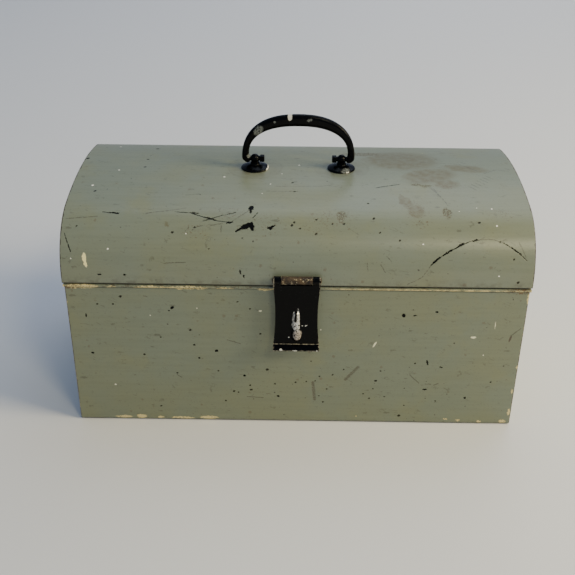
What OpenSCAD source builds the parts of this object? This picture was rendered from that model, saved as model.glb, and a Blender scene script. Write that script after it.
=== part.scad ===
// Sheet-steel toolbox with a domed lid, a drop handle, a hinged hasp and a
// lift-out tray. Millimetres, +Z up, the front faces -Y, and the origin is the
// centre of the bottom face.

/* [Box] */
// Width of the body, left to right
body_w = 406; // [240:1:600]
// Depth of the body, front to rear
body_d = 224; // [150:1:340]
// Height of the body's rim shoulder, where the lid begins
body_h = 148; // [110:1:240]
// Thickness of the body and lid sheet
sheet = 1; // [0.8:0.1:1.4]
// Outside radius of the bend between a wall and the bottom
bend_r = 3; // [2:0.5:8]
// Width of the flanges that join the body's ends to its wrap
flange_w = 10; // [6:1:14]

/* [Rim] */
// Height of the half-round bead under the rim
bead_h = 3.2; // [2.4:0.2:6]
// How far the bead stands out of the wall
bead_proud = 1.2; // [0.8:0.1:1.4]
// How far the rim inside the lid is set in from the wall
rim_step = 1.2; // [1:0.1:2]
// How far the rim reaches up inside the lid
rim_lap = 7; // [5:0.5:10]

/* [Lid] */
// How far the lid stands out past the body all round
lid_over = 1.5; // [1.4:0.1:3]
// Open seam between the rim shoulder and the lid's edge
seam_gap = 1.2; // [0.6:0.1:2]
// Height of the lid's upright band
lid_band = 4; // [2:0.5:12]
// Radius of the first, gentle bend above the band
lean_r = 57; // [40:1:80]
// Lean of the lid's wall at the top of the first bend
lean_angle = 13.5; // [8:0.5:20]
// Radius of the shoulder
shoulder_r = 52; // [35:1:60]
// Lean of the shoulder where it meets the crown
crown_angle = 79; // [72:0.5:84]
// Height of the hem folded inside the lid's lower edge
hem_h = 6; // [4:0.5:10]
// Width of the flanges that join the lid's ends to its wrap
lid_flange_w = 5; // [4:0.5:5.5]

/* [Lid hinges] */
// Distance of each hinge's middle from the middle of the box
hinge_x = 128; // [60:1:180]
// Width of each hinge
hinge_w = 50; // [36:1:80]
// Radius of the hinge barrels
hinge_r = 3.2; // [2.8:0.1:4]
// Radius of the hinge pins
hinge_pin_r = 1.5; // [1:0.1:1.8]
// Thickness of the hinge leaves
leaf_t = 1.4; // [1:0.1:1.8]
// Height of the leaf on the lid
lid_leaf_h = 17; // [12:1:24]
// Height of the leaf on the body
body_leaf_h = 24; // [18:1:34]
// How far the lid opens, in degrees, before its heels meet the body leaves
lid_open_angle = 105; // [90:1:115]

/* [Handle] */
// Distance of each handle post from the middle of the lid
post_x = 40.5; // [34:0.5:60]
// Radius of the round roses under the posts
rose_r = 13; // [10:0.5:16]
// Height of the bail's pivot above the crown
pivot_h = 9.5; // [8.5:0.5:14]
// Radius of the ball at the top of each post
ball_r = 4.3; // [4:0.1:6]
// Radius of the bail's round ends
bail_pin_r = 2.4; // [1.8:0.1:2.6]
// Height of the bail above its pivot
bail_rise = 43; // [36:1:70]
// Height of the bail's bar at the middle
bail_bar = 11; // [8:0.5:14]
// Width of the bail's legs
bail_leg = 6.5; // [5:0.5:9]
// Thickness of the bail, front to rear
bail_t = 7; // [5:0.5:8]
// Squareness of the bail's arch, 2 for an ellipse
bail_square = 2.35; // [2:0.05:3]

/* [Hasp] */
// Width of the hasp at its hinge and at its lip
hasp_w = 41; // [30:1:60]
// Width of the hasp at its waist
hasp_waist = 37; // [26:1:50]
// Length of the hasp from its hinge pin down to its lip
hasp_drop = 67; // [50:1:90]
// Height of the hasp's hinge pin above the lid's edge
hasp_rise = 8; // [7:0.5:12]
// Radius of the hasp's barrel
hasp_r = 3.6; // [3:0.1:4.4]
// Radius of the hasp's pin
hasp_pin_r = 1.5; // [1:0.1:1.8]
// Thickness of the hasp plate
hasp_t = 1.6; // [1.2:0.1:2]
// Width of the middle knuckle, which belongs to the lid
hasp_knuckle_w = 27; // [18:1:30]
// How far the lip stands out from the plate
lip_out = 7; // [5:0.5:10]
// Radius of the drop-shaped bead at its round lower end
drop_r = 4.6; // [3.6:0.1:5.5]
// Length of the drop-shaped bead
drop_l = 30; // [24:1:36]

/* [Tray] */
// Height of the tray's walls
tray_h = 45; // [30:1:60]
// Height of the tray's rim above the bottom of the box
tray_rim_z = 141; // [100:1:142]
// Thickness of the tray's sheet
tray_t = 0.9; // [0.7:0.1:1.2]
// Width of the ledges that carry the tray
ledge_w = 14; // [10:1:20]
// Distance of each cross divider from the middle of the tray
divider_x = 62; // [40:1:90]
// Height of the tray's handle above the tray's rim
tray_grip_h = 22; // [20:1:24]

/* [Clearances] */
// Radial running clearance of the pins
pin_fit = 0.05; // [0.02:0.01:0.1]
// Gap between neighbouring knuckles
knuckle_gap = 0.4; // [0.3:0.1:0.6]
// Gap between the tray and the rim on every side
tray_gap = 2; // [1.5:0.5:4]

/* [Hidden] */
$fn = 48;

paint = [0.46, 0.47, 0.43];
black = [0.08, 0.08, 0.09];
bare = [0.45, 0.36, 0.28];
steel = [0.55, 0.55, 0.54];

half_w = body_w / 2;
half_d = body_d / 2;
rim_top = body_h + seam_gap + rim_lap;
rim_inner = rim_step + sheet;            // from the wall's face to the rim's inside

// Lid outline: band, gentle bend, shoulder and crown, each tangent to the next
lid_half_w = half_w + lid_over;
lid_half_d = half_d + lid_over;
lid_edge = body_h + seam_gap;
band_top = lid_edge + lid_band;
lean_c = [lean_r - lid_half_d, band_top];
shoulder_c = lean_c + (lean_r - shoulder_r) * [-cos(lean_angle), sin(lean_angle)];
crown_r = shoulder_r - shoulder_c.x / cos(crown_angle);
crown_c = shoulder_c + (shoulder_r - crown_r) * [-cos(crown_angle), sin(crown_angle)];
crown_z = crown_c.y + crown_r;

function arc(c, r, a0, a1, steps) =
    [for (i = [1:steps]) let (a = a0 + (a1 - a0) * i / steps) c + r * [-cos(a), sin(a)]];
function lid_front(inset) = concat([[inset - lid_half_d, lid_edge], [inset - lid_half_d, band_top]],
    arc(lean_c, lean_r - inset, 0, lean_angle, 4),
    arc(shoulder_c, shoulder_r - inset, lean_angle, crown_angle, 14),
    arc(crown_c, crown_r - inset, crown_angle, 90, 6));
function mirrored(points) = [for (i = [len(points) - 1:-1:0]) [-points[i].x, points[i].y]];
function lid_outline(inset) = let (front = lid_front(inset))
    concat(front, mirrored([for (i = [0:len(front) - 2]) front[i]]));
function reversed(points) = [for (i = [len(points) - 1:-1:0]) points[i]];
// How far the crown falls at a distance from its middle line
function crown_drop(r) = crown_r - sqrt(crown_r * crown_r - r * r);

// Hinge axis of the lid, level with the seam and clear of the bead behind it
hinge_y = lid_half_d + 0.2 + hinge_r;
hinge_z = body_h + seam_gap / 2;
web_h = hinge_r + knuckle_gap;           // leaves stay this far from the axis, but for their knuckles
hinge_ends = (hinge_w - 2 * knuckle_gap) * 0.3;
leaf_top = hinge_z + lid_leaf_h;
heel_l = hinge_r + 3;
joggle_y = hinge_y - hinge_r + 0.2;      // inner face of the body leaf where it passes the bead
joggle_top = body_h - bead_h - 1;
lid_rivet_angle = 8;                     // where the lid leaf's rivets sit on the lean
heel_gap = 0.15;

// Hasp hinge axis and the planes behind the hasp
hasp_z = lid_edge + hasp_rise;
hasp_y = -(lid_half_d + 0.9 + hasp_r);
hasp_bottom = hasp_z - hasp_drop;
hasp_lean = 1.5;                         // the plate stands this much further out at its lip
hasp_web = hasp_r + knuckle_gap;         // the plate starts this far below the pin
hasp_back_y = hasp_y - 0.6;
crease_z = hasp_bottom + 3;
hasp_tilt = atan(hasp_lean / (hasp_drop - hasp_web - 3));
drop_z = hasp_z - 55;                    // centre of the drop's round lower end
drop_top_r = 3;
drop_wall = 1.1;
keeper_gap = 0.6;
keeper_t = 1.2;
keeper_w = 18;
keeper_h = 28;
keeper_l = -hasp_back_y + (hasp_z - hasp_web - drop_z) * tan(hasp_tilt) - keeper_gap - half_d;

rivet_r = 1.6;
rivet_head_r = 3.2;
rivet_head_h = 1;
rivet_tail_h = 0.8;
seat_slack = 0.1;                        // flat tails and washers stay this far off a curved inside

pivot_z = crown_z + pivot_h;
rim_half_w = half_w - rim_inner;
rim_half_d = half_d - rim_inner;
tray_half_w = rim_half_w - tray_gap;
tray_half_d = rim_half_d - tray_gap;
tray_z = tray_rim_z - tray_h;
tray_floor = tray_z + tray_t;
tray_hem = 5;
divider_top = tray_rim_z - 7;
divider_foot = 9;
divider_d = tray_half_d - 2 * tray_t - 0.2;
strap_t = 1.8;                           // the tray handle's strap
strap_w = 16;
strap_r = 14;
strap_leg = 20;
ledge_t = 1.2;
ledge_h = 12;
ledge_half_l = tray_half_d - 9;
stud_r = 2.5;                            // threaded end of each post
stud_fit = 0.3;
rose_h = 5.2;
backing_t = 1.5;
backing_w = 24;
backing_over = 18;                       // the strip runs this far past each post
washer_t = 1.2;
washer_r = 7;
nut_h = 4;
nut_r = 4.6;
backing_z = crown_z - sheet - backing_t - crown_drop(washer_r) - seat_slack;

module along_x(x0, x1) {
    translate([x0, 0, 0]) rotate([90, 0, 90]) linear_extrude(x1 - x0) children();
}

module along_y(y0, y1) {
    translate([0, y1, 0]) rotate([90, 0, 0]) linear_extrude(y1 - y0) children();
}

module rod_x(x0, x1, r) {
    translate([x0, 0, 0]) rotate([0, 90, 0]) cylinder(h = x1 - x0, r = r);
}

module box(low, high) {
    translate(low) cube(high - low);
}

// Part of a sheet that follows the lid's outline, between two insets and two heights
module lid_strip(x0, x1, outer, inner, z0, z1) {
    intersection() {
        along_x(x0, x1) polygon(concat(lid_outline(outer), reversed(lid_outline(inner))));
        box([x0 - 1, -body_d, z0], [x1 + 1, body_d, z1]);
    }
}

module sided(side) {
    mirror([side < 0 ? 1 : 0, 0, 0]) children();
}

// Domed rivet along +Z: head above its seat, grip and flat tail below
module rivet(grip) {
    tail_r = rivet_head_r - 0.6;
    rotate_extrude() polygon([[0, -grip - rivet_tail_h], [tail_r, -grip - rivet_tail_h], [tail_r, -grip],
        [rivet_r, -grip], [rivet_r, 0], [rivet_head_r, 0], [rivet_head_r * 0.8, rivet_head_h * 0.7],
        [rivet_head_r * 0.4, rivet_head_h], [0, rivet_head_h]]);
}

module rivet_hole(grip) {
    translate([0, 0, -grip - 1]) cylinder(h = grip + 2, r = rivet_r + pin_fit);
}

// ---- body ----

// Wall section from the rim's foot bead down to the bottom, moved in by an inset
function low_wall(inset) = concat([[inset - half_d, body_h - bead_h]],
    [for (i = [0:6]) let (a = 90 * i / 6)
        [bend_r - half_d - (bend_r - inset) * cos(a), bend_r - (bend_r - inset) * sin(a)]]);
// Rim section outside a wall's face: rim, shoulder and bead, moved in by an inset
function rim_section(inset) = [[-rim_step - inset, rim_top], [-rim_step - inset, body_h - inset],
    [bead_proud - inset, body_h - 0.6 - inset], [bead_proud - inset, body_h - bead_h + 0.6]];
function whole_wall(inset) = concat([for (p = rim_section(inset)) [-half_d - p.x, p.y]], low_wall(inset));
function closed(points) = concat(points, mirrored(points));

module body_wrap() {
    color(paint) difference() {
        along_x(-half_w, half_w)
            polygon(concat(closed(whole_wall(0)), reversed(closed(whole_wall(sheet)))));
        keeper_places() rivet_hole(sheet + keeper_t);
        for (side = [-1, 1]) sided(side) {
            body_leaf_places() rivet_hole(sheet + leaf_t);
            box([half_w - rim_step, -half_d, body_h], [half_w + 1, half_d, rim_top + 1]);
        }
    }
}

// End plate inside the wrap, with flanges and the same rim and bead on top
module body_end(side) {
    color(paint) sided(side) difference() {
        union() {
            along_x(half_w - sheet, half_w) polygon(closed(low_wall(sheet)));
            along_x(half_w - flange_w, half_w - sheet)
                polygon(concat(closed(low_wall(sheet)), reversed(closed(low_wall(2 * sheet)))));
            along_y(-rim_half_d, rim_half_d) polygon(concat(
                [for (p = rim_section(0)) [half_w + p.x, p.y]], [[half_w, body_h - bead_h]],
                [[half_w - sheet, body_h - bead_h]],
                reversed([for (p = rim_section(sheet)) [half_w + p.x, p.y]])));
            for (y = [-1, 1]) mirror([0, y < 0 ? 0 : 1, 0])
                box([half_w, -half_d - bead_proud, body_h - bead_h + 0.6],
                    [half_w + bead_proud, -rim_half_d, body_h - 0.6]);
        }
        ledge_places() rivet_hole(sheet + ledge_t);
    }
}

module ledge_places() {
    for (y = [-0.7, 0, 0.7]) translate([half_w, y * ledge_half_l, tray_z - ledge_h / 2])
        rotate([0, 90, 0]) children();
}

// Angle riveted to the inside of an end, which carries the tray
module tray_ledge(side) {
    x1 = half_w - sheet;
    color(steel) sided(side) difference() {
        along_y(-ledge_half_l, ledge_half_l) polygon([[x1, tray_z], [x1 - ledge_w, tray_z],
            [x1 - ledge_w, tray_z - ledge_t], [x1 - ledge_t, tray_z - ledge_t],
            [x1 - ledge_t, tray_z - ledge_h], [x1, tray_z - ledge_h]]);
        ledge_places() rivet_hole(sheet + ledge_t);
    }
}

module ledge_rivets() {
    color(paint) for (side = [-1, 1]) sided(side) ledge_places() rivet(sheet + ledge_t);
}

module keeper_places() {
    for (z = [-1, 1]) translate([0, -half_d - keeper_t, drop_z + z * keeper_h * 0.34])
        rotate([90, 0, 0]) children();
}

// Plate with a knob that the hasp's drop snaps over
module keeper() {
    color(black) difference() {
        union() {
            box([-keeper_w / 2, -half_d - keeper_t, drop_z - keeper_h / 2],
                [keeper_w / 2, -half_d, drop_z + keeper_h / 2]);
            translate([0, -half_d - keeper_t / 2, drop_z]) rotate([90, 0, 0])
                rotate_extrude() polygon([[0, 0], [3.6, 0], [3.4, keeper_t], [2.2, keeper_l * 0.4],
                    [2.2, keeper_l * 0.6], [2.8, keeper_l * 0.75], [2.6, keeper_l * 0.85],
                    [1.6, keeper_l - keeper_t / 2], [0, keeper_l - keeper_t / 2]]);
        }
        keeper_places() rivet_hole(sheet + keeper_t);
    }
}

module keeper_rivets() {
    color(black) keeper_places() rivet(sheet + keeper_t);
}

// ---- lid hinges ----

module at_hinge() {
    translate([0, hinge_y, hinge_z]) children();
}

module knuckle(x0, x1) {
    difference() {
        at_hinge() rod_x(x0, x1, hinge_r);
        at_hinge() rod_x(x0 - 1, x1 + 1, hinge_pin_r + pin_fit);
    }
}

module body_leaf_places() {
    for (x = [-1, 1]) translate([hinge_x + x * hinge_w * 0.3, half_d + leaf_t, hinge_z - body_leaf_h * 0.72])
        rotate([-90, 0, 0]) children();
}

module lid_leaf_places() {
    for (x = [-1, 1]) translate([hinge_x + x * hinge_w * 0.3, -lean_c.x, lean_c.y])
        rotate([lid_rivet_angle - 90, 0, 0]) translate([0, 0, lean_r + leaf_t]) children();
}

// Body leaf: flat on the wall, joggled out past the bead, with the two end knuckles
module hinge_body_leaf(side) {
    x0 = hinge_x - hinge_w / 2;
    x1 = hinge_x + hinge_w / 2;
    color(steel) sided(side) difference() {
        union() {
            along_x(x0, x1) polygon([[half_d, hinge_z - body_leaf_h], [half_d, joggle_top - 3],
                [joggle_y, joggle_top], [joggle_y, hinge_z - web_h], [joggle_y + leaf_t, hinge_z - web_h],
                [joggle_y + leaf_t, joggle_top - 0.6], [half_d + leaf_t, joggle_top - 3.6],
                [half_d + leaf_t, hinge_z - body_leaf_h]]);
            for (x = [[x0, x0 + hinge_ends], [x1 - hinge_ends, x1]]) {
                knuckle(x[0], x[1]);
                difference() {
                    box([x[0], joggle_y, hinge_z - web_h - 0.5], [x[1], joggle_y + leaf_t, hinge_z - 0.8]);
                    at_hinge() rod_x(x[0] - 1, x[1] + 1, hinge_pin_r + pin_fit);
                }
            }
        }
        body_leaf_places() rivet_hole(sheet + leaf_t);
    }
}

// Lid leaf: follows the lid's lean, with the middle knuckle and the stop heel
module hinge_lid_leaf(side) {
    x0 = hinge_x - hinge_w / 2;
    x1 = hinge_x + hinge_w / 2;
    k0 = x0 + hinge_ends + knuckle_gap;
    k1 = x1 - hinge_ends - knuckle_gap;
    heel_y = joggle_y + leaf_t + heel_gap - hinge_y;
    color(steel) sided(side) difference() {
        union() {
            intersection() {
                lid_strip(x0, x1, -leaf_t, 0, hinge_z + web_h, leaf_top);
                box([x0, 0, 0], [x1, body_d, leaf_top]);
            }
            difference() {
                union() {
                    box([k0, lid_half_d, hinge_z + 0.8], [k1, lid_half_d + leaf_t, hinge_z + web_h + 0.2]);
                    at_hinge() rod_x(k0, k1, hinge_r);
                    at_hinge() rotate([lid_open_angle, 0, 0])
                        box([k0, heel_y, -heel_l], [k1, heel_y + leaf_t, 0.6 - hinge_r]);
                }
                at_hinge() rod_x(k0 - 1, k1 + 1, hinge_pin_r + pin_fit);
            }
        }
        lid_leaf_places() rivet_hole(sheet + leaf_t);
    }
}

module hinge_body_rivets() {
    color(steel) for (side = [-1, 1]) sided(side) body_leaf_places() rivet(sheet + leaf_t);
}

module hinge_lid_rivets() {
    color(steel) for (side = [-1, 1]) sided(side)
        lid_leaf_places() rivet(sheet + leaf_t + seat_slack);
}

// Pin along X with a peened head at each end
module headed_pin(x0, x1, r) {
    head = 0.8;
    rod_x(x0 - head, x1 + head, r);
    for (x = [x0 - head, x1]) rod_x(x, x + head, r + 0.8);
}

module hinge_pins() {
    color(steel) for (side = [-1, 1]) sided(side) at_hinge()
        headed_pin(hinge_x - hinge_w / 2, hinge_x + hinge_w / 2, hinge_pin_r);
}

// ---- lid ----

module lid_wrap() {
    color(paint) difference() {
        union() {
            along_x(-lid_half_w, lid_half_w)
                polygon(concat(lid_outline(0), reversed(lid_outline(sheet))));
            lid_strip(sheet - lid_half_w, lid_half_w - sheet, sheet, 2 * sheet, lid_edge, lid_edge + hem_h);
        }
        post_places() cylinder(h = 30, r = stud_r + stud_fit, center = true);
        for (side = [-1, 1]) sided(side) lid_leaf_places() rivet_hole(sheet + leaf_t);
    }
}

// Domed end plate inside the wrap, with a flange round its outline and a hem below
module lid_end(side) {
    hem_y = lid_half_d - 2 * sheet;
    color(paint) sided(side) {
        along_x(lid_half_w - sheet, lid_half_w) polygon(lid_outline(sheet));
        lid_strip(lid_half_w - lid_flange_w, lid_half_w - sheet, sheet, 2 * sheet, rim_top + 2, crown_z);
        box([lid_half_w - 2 * sheet, -hem_y, lid_edge], [lid_half_w - sheet, hem_y, lid_edge + hem_h]);
    }
}

// ---- handle ----

module post_places() {
    for (side = [-1, 1]) translate([side * post_x, 0, crown_z]) children();
}

module handle_rose(side) {
    color(black) translate([side * post_x, 0, crown_z]) rotate_extrude() polygon([
        [stud_r + pin_fit, 0], [rose_r, 0], [rose_r, 1], [rose_r - 1, 1.8], [rose_r * 0.54, 3.6],
        [ball_r + 0.2, 4.1], [ball_r + 0.2, rose_h], [stud_r + pin_fit, rose_h]]);
}

// Ball-topped post, drilled for the bail's end, with a threaded stud through the lid
module handle_post(side) {
    neck_r = ball_r - 1.1;
    neck_angle = acos(neck_r / ball_r);
    stud_l = sheet + backing_t + washer_t + nut_h + 1.5;
    color(black) translate([side * post_x, 0, crown_z]) difference() {
        rotate_extrude() polygon(concat([[0, -stud_l], [stud_r, -stud_l], [stud_r, rose_h],
            [ball_r - 0.1, rose_h], [ball_r - 0.1, rose_h + 0.8], [neck_r, rose_h + 1]],
            [for (i = [0:10]) let (a = -neck_angle + (90 + neck_angle) * i / 10)
                [i == 10 ? 0 : ball_r * cos(a), pivot_h + ball_r * sin(a)]]));
        translate([0, 0, pivot_h]) rod_x(-ball_r - 1, ball_r + 1, bail_pin_r + pin_fit);
    }
}

// Strip under the crown that spreads the handle's pull
module handle_backing() {
    reach = post_x + backing_over;
    color(steel) difference() {
        intersection() {
            lid_strip(-reach, reach, sheet, sheet + backing_t, 0, crown_z);
            box([-reach, -backing_w / 2, 0], [reach, backing_w / 2, crown_z]);
        }
        post_places() cylinder(h = 30, r = stud_r + stud_fit, center = true);
    }
}

module handle_washers() {
    color(steel) for (side = [-1, 1]) translate([side * post_x, 0, backing_z - washer_t]) difference() {
        cylinder(h = washer_t, r = washer_r);
        translate([0, 0, -1]) cylinder(h = washer_t + 2, r = stud_r + stud_fit);
    }
}

module handle_nuts() {
    color(steel) for (side = [-1, 1]) translate([side * post_x, 0, backing_z - washer_t - nut_h])
        difference() {
            cylinder(h = nut_h, r = nut_r, $fn = 6);
            translate([0, 0, -1]) cylinder(h = nut_h + 2, r = stud_r + pin_fit);
        }
}

// Half an arch of the bail from its top to its foot: sharper than an ellipse when square > 2
function arch(half, base, rise, steps) =
    [for (i = [0:steps]) let (a = 90 * i / steps)
        [half * pow(sin(a), 2 / bail_square), base + rise * pow(cos(a), 2 / bail_square)]];

module bail() {
    inner_foot = post_x + ball_r + 0.4;              // the foot's inner face beside the ball
    inner_half = inner_foot + 0.8;
    outer_half = inner_half + bail_leg;
    foot = 3.4;                                      // the foot reaches this far below the pivot
    stub = [post_x - ball_r - 4.6, post_x - ball_r - 0.4];
    outer = concat(arch(outer_half, 1, bail_rise - 1, 22),
        [for (i = [1:5]) let (a = 90 * i / 5)
            [inner_half + bail_leg * cos(a), 1 - (foot + 1) * sin(a)]]);
    inner = concat(arch(inner_half, foot + 1, bail_rise - bail_bar - foot - 1, 22), [[inner_foot, foot]]);
    half = concat(outer, [[inner_foot, -foot]], reversed(inner));
    color(black) translate([0, 0, pivot_z]) for (side = [-1, 1]) sided(side) {
        along_y(-bail_t / 2, bail_t / 2) polygon(half);
        rod_x(stub[0], inner_foot + 1, bail_pin_r);
        box([stub[0], -foot + 0.6, -foot + 0.6], [stub[1], foot - 0.6, foot - 0.6]);
    }
}

// ---- hasp ----

module at_hasp() {
    translate([0, hasp_y, hasp_z]) children();
}

// Fixed leaf welded to the lid's band, rolled round the pin in its middle
module hasp_leaf() {
    x1 = hasp_knuckle_w / 2;
    color(bare) difference() {
        union() {
            box([-x1, -lid_half_d - leaf_t, lid_edge + 0.8], [x1, -lid_half_d, band_top]);
            box([-x1, -lid_half_d - leaf_t, band_top - 0.5], [x1, -lid_half_d - 0.3, hasp_z - 0.6]);
            at_hasp() rod_x(-x1, x1, hasp_r);
        }
        at_hasp() rod_x(-x1 - 1, x1 + 1, hasp_pin_r + pin_fit);
    }
}

module hasp_pin() {
    color(bare) at_hasp() headed_pin(-hasp_w / 2, hasp_w / 2, hasp_pin_r);
}

// Drop shape turned about the plate's middle line, thinner than the outside by an inset
module drop(inset) {
    span = drop_l - drop_r - drop_top_r;
    translate([0, hasp_back_y - hasp_t / 2, hasp_z - hasp_web]) rotate([-hasp_tilt, 0, 0])
        translate([0, 0, drop_z - hasp_z + hasp_web]) rotate_extrude() polygon(concat(
            [for (i = [0:6]) let (a = -90 + 96 * i / 6)
                [i == 0 ? 0 : (drop_r - inset) * cos(a), (drop_r - inset) * sin(a)]],
            [for (i = [0:5]) let (a = 6 + 84 * i / 5)
                [i == 5 ? 0 : (drop_top_r - inset) * cos(a), span + (drop_top_r - inset) * sin(a)]]));
}

// Swinging plate with a waist, a lip to lift it by and a hollow drop on its face
module hasp_plate() {
    lip_y = hasp_back_y - hasp_lean;
    plate_top = hasp_z - hasp_web;
    side_view = [[hasp_back_y, plate_top], [lip_y, crease_z], [lip_y - lip_out, hasp_bottom],
        [lip_y - lip_out - 0.4, hasp_bottom + hasp_t], [lip_y - hasp_t, crease_z + hasp_t],
        [hasp_back_y - hasp_t, plate_top]];
    waist = [for (i = [0:12]) let (u = i / 6 - 1)
        [hasp_waist / 2 + (hasp_w - hasp_waist) / 2 * u * u,
         plate_top + (crease_z - plate_top) * i / 12]];
    outline = concat([[hasp_w / 2, hasp_z]], waist, [[hasp_w / 2, hasp_bottom - 1]]);
    tab_x = hasp_knuckle_w / 2 + knuckle_gap;
    color(black) difference() {
        union() {
            intersection() {
                along_x(-hasp_w / 2, hasp_w / 2) polygon(side_view);
                along_y(lip_y - lip_out - 5, hasp_y + 5) polygon(closed(outline));
            }
            intersection() {
                drop(0);
                along_x(-hasp_w / 2, hasp_w / 2) polygon([[hasp_back_y, plate_top], [lip_y, crease_z],
                    [lip_y - 10, crease_z], [hasp_back_y - 10, plate_top]]);
            }
            for (side = [-1, 1]) sided(side) {
                at_hasp() rod_x(tab_x, hasp_w / 2, hasp_r);
                box([tab_x, hasp_back_y - hasp_t, plate_top - 0.2], [hasp_w / 2, hasp_back_y, hasp_z]);
            }
        }
        drop(drop_wall);
        at_hasp() rod_x(-hasp_w, hasp_w, hasp_pin_r + pin_fit);
    }
}

// ---- tray ----

// Folded pan with a hem inside its rim
module tray_pan() {
    color(paint) difference() {
        box([-tray_half_w, -tray_half_d, tray_z], [tray_half_w, tray_half_d, tray_rim_z]);
        box([tray_t - tray_half_w, tray_t - tray_half_d, tray_floor],
            [tray_half_w - tray_t, tray_half_d - tray_t, tray_rim_z - tray_hem]);
        box([2 * tray_t - tray_half_w, 2 * tray_t - tray_half_d, tray_floor],
            [tray_half_w - 2 * tray_t, tray_half_d - 2 * tray_t, tray_rim_z + 1]);
        for (side = [-1, 1]) sided(side) foot_places() rivet_hole(2 * tray_t);
    }
}

module foot_places() {
    for (y = [-0.6, 0.6]) translate([divider_x + divider_foot / 2, y * divider_d, tray_floor + tray_t])
        children();
}

module strap_places() {
    for (z = [6, 14]) translate([divider_x, 0, divider_top - z]) rotate([0, 90, 0]) children();
}

// Cross divider with a foot riveted to the pan
module tray_divider(side) {
    color(paint) sided(side) difference() {
        along_y(-divider_d, divider_d) polygon([[divider_x - tray_t, tray_floor],
            [divider_x - tray_t, divider_top], [divider_x, divider_top], [divider_x, tray_floor + tray_t],
            [divider_x + divider_foot, tray_floor + tray_t], [divider_x + divider_foot, tray_floor]]);
        foot_places() rivet_hole(2 * tray_t);
        strap_places() rivet_hole(tray_t + strap_t);
    }
}

// Short divider along the middle bay, between the handle's legs
module tray_divider_middle() {
    reach = divider_x - tray_t - strap_t - rivet_tail_h - seat_slack;
    color(paint) along_x(-reach, reach) polygon([[0, tray_floor], [0, divider_top - 4],
        [tray_t, divider_top - 4], [tray_t, tray_floor + tray_t], [divider_foot, tray_floor + tray_t], [divider_foot, tray_floor]]);
}

function strap(inset) = let (x = divider_x - tray_t, top = tray_rim_z + tray_grip_h)
    concat([[x - inset, divider_top - strap_leg]],
        [for (i = [0:8]) let (a = 90 * i / 8) [x - strap_r + (strap_r - inset) * cos(a),
            top - strap_r + (strap_r - inset) * sin(a)]]);

// Bent strap riveted between the cross dividers, to lift the tray by
module tray_handle() {
    color(steel) difference() {
        along_y(-strap_w / 2, strap_w / 2)
            polygon(concat(closed(strap(0)), reversed(closed(strap(strap_t)))));
        for (side = [-1, 1]) sided(side) strap_places() rivet_hole(tray_t + strap_t);
    }
}

module tray_rivets() {
    color(steel) for (side = [-1, 1]) sided(side) {
        foot_places() rivet(2 * tray_t);
        strap_places() rivet(tray_t + strap_t);
    }
}

body_wrap();
body_end(-1);  // body_end_left
body_end(1);  // body_end_right
tray_ledge(-1);  // tray_ledge_left
tray_ledge(1);  // tray_ledge_right
ledge_rivets();
keeper();
keeper_rivets();
hinge_body_leaf(-1);  // hinge_body_leaf_left
hinge_body_leaf(1);  // hinge_body_leaf_right
hinge_body_rivets();
hinge_pins();
lid_wrap();
lid_end(-1);  // lid_end_left
lid_end(1);  // lid_end_right
hinge_lid_leaf(-1);  // hinge_lid_leaf_left
hinge_lid_leaf(1);  // hinge_lid_leaf_right
hinge_lid_rivets();
handle_rose(-1);  // handle_rose_left
handle_rose(1);  // handle_rose_right
handle_post(-1);  // handle_post_left
handle_post(1);  // handle_post_right
handle_backing();
handle_washers();
handle_nuts();
bail();
hasp_leaf();
hasp_pin();
hasp_plate();
tray_pan();
tray_divider(-1);  // tray_divider_left
tray_divider(1);  // tray_divider_right
tray_divider_middle();
tray_handle();
tray_rivets();
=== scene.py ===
import math

import bmesh
import bpy
from mathutils import Matrix, Vector


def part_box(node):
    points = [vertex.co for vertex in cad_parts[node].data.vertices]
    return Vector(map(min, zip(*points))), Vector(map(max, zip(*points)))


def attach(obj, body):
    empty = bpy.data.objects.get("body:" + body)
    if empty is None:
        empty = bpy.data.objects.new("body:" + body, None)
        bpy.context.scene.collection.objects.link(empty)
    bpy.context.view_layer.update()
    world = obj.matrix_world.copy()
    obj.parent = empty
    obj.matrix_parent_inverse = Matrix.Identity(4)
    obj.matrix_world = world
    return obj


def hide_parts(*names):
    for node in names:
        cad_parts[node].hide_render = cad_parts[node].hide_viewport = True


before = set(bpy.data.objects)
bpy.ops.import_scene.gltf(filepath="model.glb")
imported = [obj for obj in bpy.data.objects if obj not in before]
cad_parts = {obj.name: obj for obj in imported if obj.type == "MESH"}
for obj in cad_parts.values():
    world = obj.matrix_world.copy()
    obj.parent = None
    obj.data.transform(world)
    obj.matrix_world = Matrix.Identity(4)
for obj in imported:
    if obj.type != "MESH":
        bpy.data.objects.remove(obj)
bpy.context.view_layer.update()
mm = 0.001
print("toolbox: frame loaded")


view = dict(lens=57.65, place=(-0.0024, -0.8075, 0.5466), pitch=29.89, yaw=0.47, roll=0.49)


def addCamera():
    camera = bpy.data.objects.new("camera", bpy.data.cameras.new("camera"))
    bpy.context.scene.collection.objects.link(camera)
    camera.data.lens = view["lens"]
    camera.data.clip_start = 0.02
    camera.matrix_world = (Matrix.Translation(view["place"])
                           @ Matrix.Rotation(math.radians(view["yaw"]), 4, "Z")
                           @ Matrix.Rotation(math.radians(90 - view["pitch"]), 4, "X")
                           @ Matrix.Rotation(math.radians(view["roll"]), 4, "Z"))
    bpy.context.scene.camera = camera


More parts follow.
